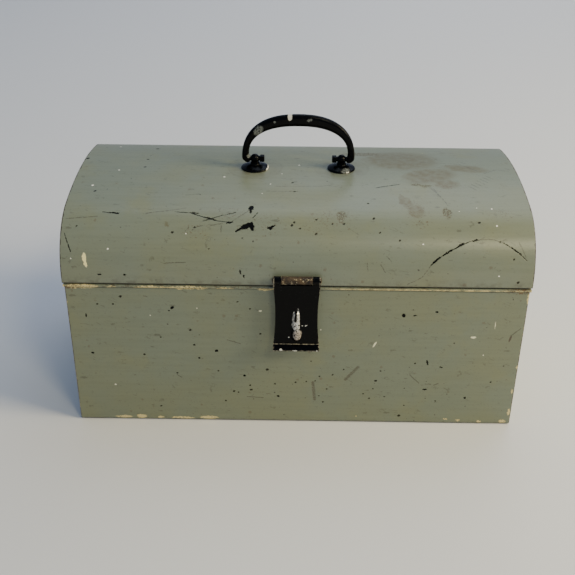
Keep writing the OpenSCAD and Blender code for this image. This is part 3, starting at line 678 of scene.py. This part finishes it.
def addLidShell():
    shape, high = lidShape, lidHigh
    depth, edge = high.y, lidLow.z
    fold, band = shape["fold"] * mm, shape["band"] * mm
    lean, turn = shape["leanRadius"] * mm, shape["leanAngle"]
    shoulder, crownAngle = shape["shoulderRadius"] * mm, shape["crownAngle"]
    leanAt = Vector((lean - depth, edge + band))
    tilt = math.radians(turn)
    shoulderAt = leanAt + (lean - shoulder) * Vector((-math.cos(tilt), math.sin(tilt)))
    crown = shoulder - shoulderAt.x / math.cos(math.radians(crownAngle))
    crownZ = shoulderAt.y + (shoulder - crown) * math.sin(math.radians(crownAngle))
    hem = shape["hem"] * mm - fold
    steps = [("draw", 0, -hem, 2), ("turn", fold - depth, edge + fold, -180, 6), ("draw", 0, band - fold, 2),
             ("turn", *leanAt, -turn, 6), ("turn", *shoulderAt, turn - crownAngle, 26),
             ("turn", 0, crownZ, 2 * (crownAngle - 90), 44),
             ("turn", -shoulderAt.x, shoulderAt.y, turn - crownAngle, 26),
             ("turn", -leanAt.x, leanAt.y, -turn, 6), ("draw", 0, fold - band, 2),
             ("turn", depth - fold, edge + fold, -180, 6), ("draw", 0, hem, 2)]
    piece = sheetAlongX("lidShell", high.x, shape["across"], (2 * fold - depth, edge + fold + hem), steps,
                        (0, 0, high.z + 0.05))
    unrollUv(piece, (-depth, edge + fold))
    wavySheet(piece, shape["wave"] * mm, shape["waveSize"])
    piece.data.materials.append(lidPaint)
    piece.data.materials.append(insidePaint)
    thickened(piece, shape["sheet"] * mm, shape["rounding"] * mm)
    return finishPiece(piece, "lid", None, ["lid_wrap"])


addLidShell()
print("toolbox: lid done")


bodyShape = dict(beadStands=1.2, rimStep=1.2, rimLap=8.2, beadRadius=1.6, beadSink=0.4, bend=3.0, sheet=0.95,
                 rounding=0.2, wave=0.5, waveSize=0.11, across=140)

# marks on the body's front: millimetres right of the middle, then up from the bottom
bodyMarks = dict(
    chips=[(-110, 124, 1.9, 1.3, 30), (-113, 121, 0.9, 0.7, 0), (-185, 75, 1.7, 1.1, 0),
           (-72, 79, 1.6, 1.2, 10), (-92, 85, 1.0, 0.9, 0), (-88, 71, 1.1, 0.9, 0), (95, 119, 1.6, 2.1, 15),
           (105, 119, 1.6, 0.8, 0), (-16, 29, 1.5, 1.2, -30), (-47, 52, 1.3, 1.0, 0),
           (120, 69, 0.9, 2.8, 15), (133, 64, 1.6, 0.8, -15), (120, 39, 2.2, 0.8, 0),
           (158, 30, 1.2, 1.2, 0), (-187, 115, 0.6, 2.0, 0), (124, 123, 1.3, 0.9, 0)],
    pits=[(-155, 135, 1.8), (-95, 101, 1.6), (-138, 74, 1.4), (-176, 127, 1.2), (-162, 127, 1.2),
          (-122, 93, 1.2), (-52, 131, 1.2), (-41, 124, 1.3), (-109, 54, 1.3), (-71, 57, 1.2),
          (-42, 41, 1.2), (-41, 36, 1.7), (-57, 34, 1.5), (-53, 33, 1.1), (-26, 59, 2.0), (-19, 43, 1.2),
          (-65, 23, 1.2), (-126, 16, 1.4), (0, 45, 1.2), (10, 46, 1.1), (18, 47, 1.0), (22, 52, 1.2),
          (34, 54, 1.3), (44, 60, 1.0), (78, 59, 1.2), (74, 48, 1.7), (72, 39, 1.1), (63, 33, 1.1),
          (69, 28, 1.3), (83, 30, 1.2), (101, 40, 1.0), (102, 20, 1.0), (26, 23, 1.2), (22, 30, 1.1),
          (29, 38, 1.1), (109, 68, 1.1), (131, 26, 1.1), (180, 48, 1.2), (98, 8, 2.0), (14, 69, 0.9),
          (-32, 98, 1.4)],
    faint=[[(105, 55), (114, 46)], [(120, 45), (125, 45)], [(128, 44), (132, 46)], [(192, 99), (200, 107)],
           [(-62, 91), (-50, 87)], [(-109, 52), (-105, 49)], [(-45, 28), (-30, 27)]],
    fields=[(-20, 42, 50, 19, 0), (60, 44, 48, 20, 0)],  # where small pits crowd, low in the middle
    scuffs=[[(46, 49), (57, 63)], [(16, 45), (18, 26)]],
    red=[(192, 96, 1.0, 3.4, -15)],
    light=[(71, 88, 0.8, 3.2, -28), (159, 97, 2.5, 1.1, 4), (-32, 122, 1.4, 0.8, 0),
           (177, 110, 0.25, 4.0, 0)],
    white=[(-130, 116, 0.5), (-167, 40, 0.8), (170, 78, 0.6), (22, 103, 0.6), (-88, 124, 0.5)],
    flakes=[(-162, 3, 8, 1.4, 0), (-145, 3.5, 4.5, 2.4, 0), (-127, 2.6, 3, 1.2, 0), (-106, 2.4, 11, 1.2, 0),
            (-81, 3, 8.5, 1.9, 0), (142, 5, 2, 1, 0), (154, 4, 2, 1.2, 0), (174, 2.6, 2, 1, 0),
            (196, 3, 3.4, 1.8, 0), (201, 14, 1.2, 3.5, 0), (202, 65, 0.8, 2, 0), (201, 38, 0.9, 2.4, 0),
            (203, 138, 1.4, 6, 0)],
    corners=[(196, 146, 16, 4, 0), (-197, 145, 9, 3, 0)],
    beadHeight=146.2, bandFrom=24,
    bandPatches=[(-188, 146, 15, 3.2, 0), (-162, 146, 4, 1.5, 0), (-128, 146, 14, 1.6, 0),
                 (-96, 145.5, 18, 2.4, 0), (-62, 145.5, 8, 1.4, 0), (-27, 145, 8, 1.8, 0)])


bodyLook = dict(
    greenPaint, field=(0.026, 0.019, 0.012), scuff=(0.055, 0.034, 0.018), pit=(0.018, 0.013, 0.009),
    red=(0.060, 0.032, 0.020), beadShade=(0.075, 0.050, 0.022), sideDark=(0.040, 0.028, 0.018),
    corner=(0.13, 0.062, 0.020), foot=(0.035, 0.028, 0.02), light=(0.90, 0.86, 0.58),
    white=(0.80, 0.77, 0.60))


def addBodyPaint():
    look, marks = bodyLook, bodyMarks
    paint = Paint("bodyPaint", True)
    across, place = paint.across, paint.place
    colour, height, fine = paintBase(paint, look)
    colour, pits, hair = scatter(paint, colour, look)
    near = paint.shifted(0.45, 1.4)
    field = paint.times(paint.chips(paint.shifted(0.05, 20.0), marks["fields"], 0.4),
                        paint.specks(place, 5.5, 0.5, 1.3, 1.4))
    scuff = paint.times(paint.scratches(near, marks["scuffs"], 2.0),
                        paint.grain(across, 0.8, 3.0, 0.7, 0.35, 0.55, 0.3, 1.0))
    faint = paint.scratches(near, marks["faint"], 0.7)
    pit = paint.dots(paint.shifted(0.9, 2.2), marks["pits"], 0.8, 0.62, 20, 0.4)
    # the bead under the lid is rubbed through to a pale undercoat, with a painted highlight as a thin pale
    # line along its crest on the right and painted shade round it, and rusty at the corners
    beadAway = paint.awayFrom("z", marks["beadHeight"])
    beadRub = paint.times(paint.rub(beadAway, 1.9, 0.52, 4.0), paint.ramp(paint.u, 20.0, 40.0, 0.10, 1.0))
    # painted highlight and wear: a thin pale line along the bead's crest, on the right only
    line = paint.times(paint.ramp(beadAway, 0.4, 1.3, 0.50, 0.0),
                       paint.ramp(paint.u, marks["bandFrom"], marks["bandFrom"] + 6.0))
    line = paint.times(line, paint.grain(place, 0.16, 5.0, 0.75, 0.40, 0.60, 0.15, 1.0))
    patches = paint.times(paint.chips(paint.shifted(0.28, 5.0), marks["bandPatches"], 0.3),
                          paint.grain(across, 0.55, 4.0, 0.7, 0.38, 0.52))
    # painted shade: a patchy brown darkening round the bead and up into the gap under the lid's edge
    beadShade = paint.times(paint.ramp(beadAway, 1.0, 2.6, 0.7, 0.0),
                           paint.grain(place, 0.35, 4.0, 0.75, 0.44, 0.60))
    paleBandAndHighlight = paint.most(paint.times(beadRub, 0.95), line, patches)
    corner = paint.times(paint.chips(paint.shifted(0.2, 8.0), marks["corners"], 0.5),
                         paint.grain(place, 0.6, 4.0, 0.7, 0.46, 0.58))
    # flakes and rubbing along the foot and up the sides
    flake = paint.times(paint.chips(paint.shifted(0.5, 3.4), marks["flakes"], 0.25),
                        paint.grain(across, 0.5, 3.0, 0.7, 0.36, 0.46))
    lowAway = paint.size(paint.v)
    foot = paint.times(paint.ramp(lowAway, 0.4, 1.8, 0.75, 0.0),
                       paint.grain(place, 0.2, 3.0, 0.5, 0.35, 0.55, 0.2, 1.0))
    flake = paint.most(flake, paint.times(paint.rub(lowAway, 4.0, 0.36, 5.0), 0.6))
    sideAway = paint.awayFrom("x", -bodyHigh.x / mm)
    sideRub = paint.rub(sideAway, 1.8, 0.56, 3.2)
    sideDark = paint.rub(sideAway, 1.6, 0.72, 3.0, paint.moved(5.0, 9.0, 40.0))
    chip = paint.chips(paint.shifted(0.9, 2.6), marks["chips"], 0.2)
    red, light = paint.chips(near, marks["red"], 0.3), paint.chips(near, marks["light"], 0.5)
    white = paint.dots(near, marks["white"], 1, 1, 0, 0.3)
    colour = paint.coats(colour, look, [
        (field, 0.85, "field"), (scuff, 0.62, "scuff"), (faint, 0.6, "scratch"), (pit, 0.9, "pit"),
        (red, 0.8, "red"), (beadShade, 1.0, "beadShade"), (paleBandAndHighlight, 1.0, "under"), (sideRub, 0.8, "under"),
        (sideDark, 0.85, "sideDark"), (flake, 1.0, "under"), (corner, 0.85, "corner"), (foot, 1.0, "foot"),
        (light, 0.9, "light"), (chip, 1.0, "primer"), (white, 1.0, "white")])
    worn = paint.most(chip, pit, field, corner, scuff)
    roughness = paint.plus(paint.plus(look["rough"], fine, 0.12), paint.most(worn, paleBandAndHighlight), 0.2)
    height = paint.less(height, paint.most(worn, pits, paleBandAndHighlight), 0.8)
    height = paint.less(height, paint.most(hair, faint), 0.25)
    metal = paint.times(paint.most(chip, pit), look["bareMetal"])
    return paint.finish(colour, roughness, height, look["bump"], metal)


bodyPaint = addBodyPaint()


def addBodyShell():
    shape, high = bodyShape, bodyHigh
    half = -bodyLow.y - shape["beadStands"] * mm  # the flat walls stand behind the bead
    top = high.z
    rim = half - shape["rimStep"] * mm
    shoulder = top - shape["rimLap"] * mm
    bead, sink, bend = shape["beadRadius"] * mm, shape["beadSink"] * mm, shape["bend"] * mm
    foot = shoulder - 2 * bead - sink
    wall = foot - bend
    steps = [("draw", 0, shoulder - top, 3), ("draw", rim - half + sink, 0, 1),
             ("turn", sink - half, shoulder - bead, 180, 10), ("draw", -sink, -sink, 1),
             ("draw", 0, -wall, 34), ("turn", bend - half, bend, 90, 6), ("draw", 2 * (half - bend), 0, 50),
             ("turn", half - bend, bend, 90, 6), ("draw", 0, wall, 34), ("draw", -sink, sink, 1),
             ("turn", half - sink, shoulder - bead, 180, 10), ("draw", rim - half + sink, 0, 1),
             ("draw", 0, top - shoulder, 3)]
    piece = sheetAlongX("bodyShell", high.x, shape["across"], (-rim, top), steps, (0, 0, -0.05))
    unrollUv(piece, (-half, 0.0))
    for loop in piece.data.uv_layers["sheet"].data:
        loop.uv.y = -loop.uv.y           # V runs up the front from the bottom edge
    startEditing(piece)
    pickVertices(piece, lambda place: place.z > shoulder + 0.1 * mm)
    rimShare = (high.x - shape["rimStep"] * mm) / high.x
    bpy.ops.transform.resize(value=(rimShare, 1, 1), center_override=(0, 0, 0))
    stopEditing()
    wavySheet(piece, shape["wave"] * mm, shape["waveSize"])
    piece.data.materials.append(bodyPaint)
    piece.data.materials.append(insidePaint)
    thickened(piece, shape["sheet"] * mm, shape["rounding"] * mm)
    return finishPiece(piece, "box", None, ["body_wrap"])


addBodyShell()
for side in ("left", "right"):
    finishPiece(softened("bodyEnd" + side.title(), "body_end_" + side, 0.3 * mm), "box",
                bodyEndPaint, ["body_end_" + side])
    finishPiece(softened("lidEnd" + side.title(), "lid_end_" + side, 0.3 * mm), "lid",
                lidEndPaint, ["lid_end_" + side])
print("toolbox: body and ends done")


blackEnamel = dict(
    colour=(0.0008, 0.0009, 0.0011), faded=(0.0015, 0.0015, 0.0015), dust=(0.024, 0.026, 0.030),
    fineDust=(0.075, 0.075, 0.078), edge=(0.30, 0.27, 0.20), steel=(0.76, 0.76, 0.72),
    rust=(0.21, 0.12, 0.060), grey=(0.17, 0.18, 0.165), under=(0.62, 0.60, 0.52), rough=0.14, shine=0.10,
    bump=0.16)


def addBlackPaint(name, spots=(), bare=(), edges=(), rubbed=()):
    # gloss black with pinholes and specks; spots are pale chips, rubbed is dull grey and bare is where the
    # metal shows, all as (x, z, half width, half height, turn) in millimetres; the metal rusts towards the
    # foot of its first spot; edges: axis, place, reach, amount
    look = blackEnamel
    paint = Paint(name)
    place = paint.place
    front = paint.node("CombineXYZ", paint.x, paint.z).outputs[0]
    near = paint.shifted(0.7, 1.8, place, front)
    uneven = paint.noise(place, 0.35, 4.0, 0.6)
    specks = paint.specks(place, 2.6, 0.34, 0.42, 0.8)
    fine = paint.specks(paint.moved(3.0, 11.0, 7.0), 1.5, 0.22, 0.24, 0.4)
    paint.shader.inputs["Specular IOR Level"].default_value = look["shine"]
    colour = paint.blend(paint.ramp(uneven, 0.4, 0.75), solid(look["colour"]), solid(look["faded"]))
    colour = paint.coats(colour, look, [(specks, 0.5, "dust"), (fine, 0.6, "fineDust")])
    worn, metal = paint.times(specks, 0.4), 0.0
    # pale lines along the given edges: rubbed paint, and a painted highlight where the edge is a crease
    for axis, edge, reach, amount in edges:
        rub = paint.rub(paint.awayFrom(axis, edge), reach, amount, 2.0)
        colour = paint.coat(colour, rub, look["edge"], 0.8)
        worn = paint.most(worn, rub)
    if bare:
        shown = paint.times(paint.chips(near, bare, 0.3), paint.grain(place, 0.75, 4.0, 0.7, 0.40, 0.50))
        middle, reach = bare[0][1], bare[0][3]
        low = paint.ramp(paint.z, middle - 0.3 * reach, middle - 0.75 * reach)
        rusty = paint.times(paint.grain(place, 0.8, 4.0, 0.7, 0.42, 0.62), 0.5)
        rusty = paint.most(rusty, paint.times(low, 0.62))
        colour = paint.blend(shown, colour, paint.blend(rusty, solid(look["steel"]), solid(look["rust"])))
        metal = paint.times(shown, paint.less(1.0, rusty))
        worn = paint.most(worn, shown)
    if rubbed:
        grey = paint.times(paint.chips(near, rubbed, 0.4), paint.grain(place, 0.9, 3.0, 0.7, 0.36, 0.56))
        colour = paint.coat(colour, grey, look["grey"])
        worn = paint.most(worn, grey)
    if spots:
        pale = paint.chips(near, spots, 0.25)
        colour = paint.coat(colour, pale, look["under"])
        worn = paint.most(worn, pale)
    roughness = paint.plus(paint.plus(look["rough"], uneven, 0.12), worn, 0.25)
    height = paint.less(paint.times(uneven, 1.3), worn, 0.6)
    return paint.finish(colour, roughness, height, look["bump"], metal)


steelLooks = dict(
    rustySteel=dict(bright=(0.095, 0.060, 0.028), dull=(0.016, 0.010, 0.007), pale=(0.52, 0.43, 0.26),
                    speck=(0.02, 0.014, 0.01), share=0.56, metal=0.35, rough=0.42),
    dullSteel=dict(bright=(0.34, 0.34, 0.33), dull=(0.13, 0.12, 0.105), pale=(0.20, 0.11, 0.05),
                   speck=(0.02, 0.014, 0.01), share=0.72, metal=0.9, rough=0.42))


def addSteel(name):
    look = steelLooks[name]
    paint = Paint(name)
    cloud = paint.noise(paint.place, 0.16, 5.0, 0.65)
    patch = paint.noise(paint.moved(40.0, 3.0, 9.0), 0.42, 5.0, 0.7)
    specks = paint.specks(paint.place, 3.0, 0.35, 0.6, 1.0)
    spots = paint.ramp(patch, look["share"], look["share"] + 0.08)
    colour = paint.blend(paint.ramp(cloud, 0.36, 0.64), solid(look["bright"]), solid(look["dull"]))
    colour = paint.coats(colour, look, [(spots, 0.85, "pale"), (specks, 0.6, "speck")])
    metal = paint.times(paint.less(1.0, spots), look["metal"])
    height = paint.less(paint.times(patch, 0.6), specks, 0.6)
    return paint.finish(colour, paint.plus(look["rough"], cloud, 0.22), height, 0.10, metal)


haspLow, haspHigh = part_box("hasp_plate")
haspBlack = addBlackPaint(
    "haspBlack",
    [(-13.5, 91.5, 1.3, 1.0, 0), (-1, 91, 2.2, 0.6, 0), (18.6, 91, 0.7, 1.1, 0), (-6.5, 101.5, 0.6, 0.7, 0),
     (8.6, 113.5, 1.1, 0.6, 30), (5.4, 113.3, 0.7, 0.6, 0), (19.6, 126, 0.5, 0.7, 0)],
    [(1.6, 117.0, 1.4, 13, 0), (-2.6, 122.0, 0.9, 5.5, -6), (-1.6, 114.5, 2.4, 4.0, 0),
     (1.0, 105.5, 3.8, 5.0, 0)],
    [("x", 0.9 - haspHigh.x / mm, 0.7, 0.46), ("z", haspLow.z / mm + 0.6, 1.3, 0.58),  # sides and lip rubbed pale; the pale line along the crease is a painted highlight
     ("z", haspLow.z / mm + 4.4, 0.5, 0.62)])
handleBlack = addBlackPaint(
    "handleBlack", [(-8, 263.6, 2.0, 3.6, 0), (-28.8, 213.2, 1.3, 0.7, 30), (46, 213.0, 1.6, 0.6, 0)],
    rubbed=[(-37, 250, 5.2, 3.4, 48), (10, 260.5, 2.4, 1.3, 20), (-22, 258.5, 1.1, 1.1, 0),
            (44, 214, 4, 1.4, 0), (-46, 225, 2, 2, 0)])
keeperBlack = addBlackPaint("keeperBlack", bare=[(0, 102, 3.5, 4, 0)])
rustySteel = addSteel("rustySteel")
dullSteel = addSteel("dullSteel")
trayPaint = addPlainPaint("trayPaint", 0.92, 1.5, [("z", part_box("tray_pan")[1].z / mm, 1.6, False)])
print("toolbox: finishes ready")


bailShape = dict(halfInside=46.0, leg=6.5, bar=11.0, rise=43.0, thick=7.0, square=2.35, foot=3.4,
                 innerFoot=45.2, footTurns=(25, 50, 70), footCurl=1.8, stations=40, corner=0.34,
                 rounding=0.7, stubRadius=2.4, stubFrom=47.2, nut=5.6, nutFrom=31.6, nutTo=35.8)


def bailStations():
    # the outer and inner point of each cross-section, in millimetres from the pivot, from foot to foot
    shape = bailShape
    rise, foot, power = shape["rise"], shape["foot"], 2 / shape["square"]
    half, inside = shape["halfInside"] + shape["leg"], shape["halfInside"]
    stations = []
    for i in range(shape["stations"] + 1):
        share = math.radians(90 * i / shape["stations"])
        side, up = math.sin(share) ** power, max(math.cos(share), 0.0) ** power
        stations.append((Vector((half * side, 1 + (rise - 1) * up)),
                         Vector((inside * side, foot + 1 + (rise - shape["bar"] - foot - 1) * up))))
    for turn in map(math.radians, shape["footTurns"]):
        stations.append((
            Vector((inside + shape["leg"] * math.cos(turn), 1 - (foot + 1) * math.sin(turn))),
            Vector((shape["innerFoot"], foot - shape["footCurl"] * foot * math.sin(turn)))))
    return [(Vector((-o.x, o.y)), Vector((-i.x, i.y))) for o, i in reversed(stations[1:])] + stations


def addBail():
    shape = bailShape
    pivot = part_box("bail")[1].z / mm - shape["rise"]
    bpy.ops.mesh.primitive_plane_add(size=1)
    ring = bpy.context.object
    startEditing(ring)
    bpy.ops.mesh.bevel(offset=shape["corner"], segments=4, affect="VERTICES")
    bpy.ops.mesh.delete(type="ONLY_FACE")
    stopEditing()
    rings = []
    for outer, inner in bailStations():
        copy = ring.copy()
        copy.data = ring.data.copy()
        bpy.context.scene.collection.objects.link(copy)
        middle, rise = (outer + inner) / 2, outer - inner
        copy.matrix_world = (Matrix.Translation((middle.x * mm, 0, (middle.y + pivot) * mm))
                             @ Matrix.Rotation(-math.atan2(rise.y, rise.x), 4, "Y")
                             @ Matrix.Diagonal((rise.length * mm, shape["thick"] * mm, 1, 1)))
        rings.append(copy)
    bpy.data.objects.remove(ring)
    piece = joined(rings)
    piece.name = "bailHandle"
    makeActive(piece)
    bpy.ops.object.transform_apply(location=True, rotation=True, scale=True)
    startEditing(piece)
    bpy.ops.mesh.bridge_edge_loops()
    bpy.ops.mesh.select_all(action="DESELECT")
    bpy.ops.mesh.select_non_manifold()
    bpy.ops.mesh.edge_face_add()
    bpy.ops.mesh.select_all(action="SELECT")
    bpy.ops.mesh.remove_doubles(threshold=0.00001)
    bpy.ops.mesh.normals_make_consistent(inside=False)
    stopEditing()
    parts = [piece]
    for side in (-1, 1):
        bpy.ops.mesh.primitive_cylinder_add(
            vertices=24, radius=shape["stubRadius"] * mm, depth=(shape["stubFrom"] - shape["nutFrom"]) * mm,
            location=(side * (shape["stubFrom"] + shape["nutFrom"]) / 2 * mm, 0, pivot * mm),
            rotation=(0, math.radians(90), 0))
        parts.append(bpy.context.object)
        bpy.ops.mesh.primitive_cube_add(
            size=1, location=(side * (shape["nutFrom"] + shape["nutTo"]) / 2 * mm, 0, pivot * mm),
            scale=((shape["nutTo"] - shape["nutFrom"]) * mm, shape["nut"] * mm, shape["nut"] * mm))
        nut = bpy.context.object
        makeActive(nut)
        bpy.ops.object.transform_apply(location=True, rotation=True, scale=True)
        applyModifier(nut, "BEVEL", width=shape["rounding"] * mm, segments=3)
        parts.append(nut)
    return finishPiece(joined(parts), "bail", handleBlack, ["bail"], 40)


addBail()
for side in ("left", "right"):
    for kind, width, segments, bevelAngle in (("rose", 0.45, 3, 20), ("post", 0.2, 2, 35)):
        node = "handle_" + kind + "_" + side
        piece = softened(kind + side.title(), node, width * mm, segments, bevelAngle)
        finishPiece(piece, "lid", handleBlack, [node], 42)
print("toolbox: handle done")

# softened from their CAD shapes: name, node, body, slot, material, edge radius in millimetres
smallPieces = [
    ("haspPlate", "hasp_plate", "hasp", "black_paint", haspBlack, 0.32),
    ("haspLeaf", "hasp_leaf", "lid", "rusty_steel", rustySteel, 0.25),
    ("haspPin", "hasp_pin", "lid", "rusty_steel", rustySteel, 0.25),
    ("keeperPlate", "keeper", "box", "black_paint", keeperBlack, 0.2),
    ("keeperRivets", "keeper_rivets", "box", "black_paint", keeperBlack, 0.15),
    ("hingeBodyLeafLeft", "hinge_body_leaf_left", "box", "zinc_steel", dullSteel, 0.2),
    ("hingeBodyLeafRight", "hinge_body_leaf_right", "box", "zinc_steel", dullSteel, 0.2),
    ("hingeBodyRivets", "hinge_body_rivets", "box", "zinc_steel", dullSteel, 0.15),
    ("hingePins", "hinge_pins", "box", "zinc_steel", dullSteel, 0.2),
    ("hingeLidLeafLeft", "hinge_lid_leaf_left", "lid", "zinc_steel", dullSteel, 0.2),
    ("hingeLidLeafRight", "hinge_lid_leaf_right", "lid", "zinc_steel", dullSteel, 0.2),
    ("hingeLidRivets", "hinge_lid_rivets", "lid", "zinc_steel", dullSteel, 0.15),
    ("backingStrip", "handle_backing", "lid", "zinc_steel", dullSteel, 0.2),
    ("handleWashers", "handle_washers", "lid", "zinc_steel", dullSteel, 0.2),
    ("handleNuts", "handle_nuts", "lid", "zinc_steel", dullSteel, 0.3),
    ("trayLedgeLeft", "tray_ledge_left", "box", "zinc_steel", dullSteel, 0.2),
    ("trayLedgeRight", "tray_ledge_right", "box", "zinc_steel", dullSteel, 0.2),
    ("ledgeRivets", "ledge_rivets", "box", "paint", bodyEndPaint, 0.15),
    ("trayPan", "tray_pan", "tray", "tray_paint", trayPaint, 0.25),
    ("trayDividerLeft", "tray_divider_left", "tray", "tray_paint", trayPaint, 0.2),
    ("trayDividerRight", "tray_divider_right", "tray", "tray_paint", trayPaint, 0.2),
    ("trayDividerMiddle", "tray_divider_middle", "tray", "tray_paint", trayPaint, 0.2),
    ("trayHandle", "tray_handle", "tray", "zinc_steel", dullSteel, 0.3),
    ("trayRivets", "tray_rivets", "tray", "zinc_steel", dullSteel, 0.15)]

for name, node, body, slotName, material, radius in smallPieces:
    finishPiece(softened(name, node, radius * mm), body, material, [node], 35)
print("toolbox: hasp, hinges and tray done")
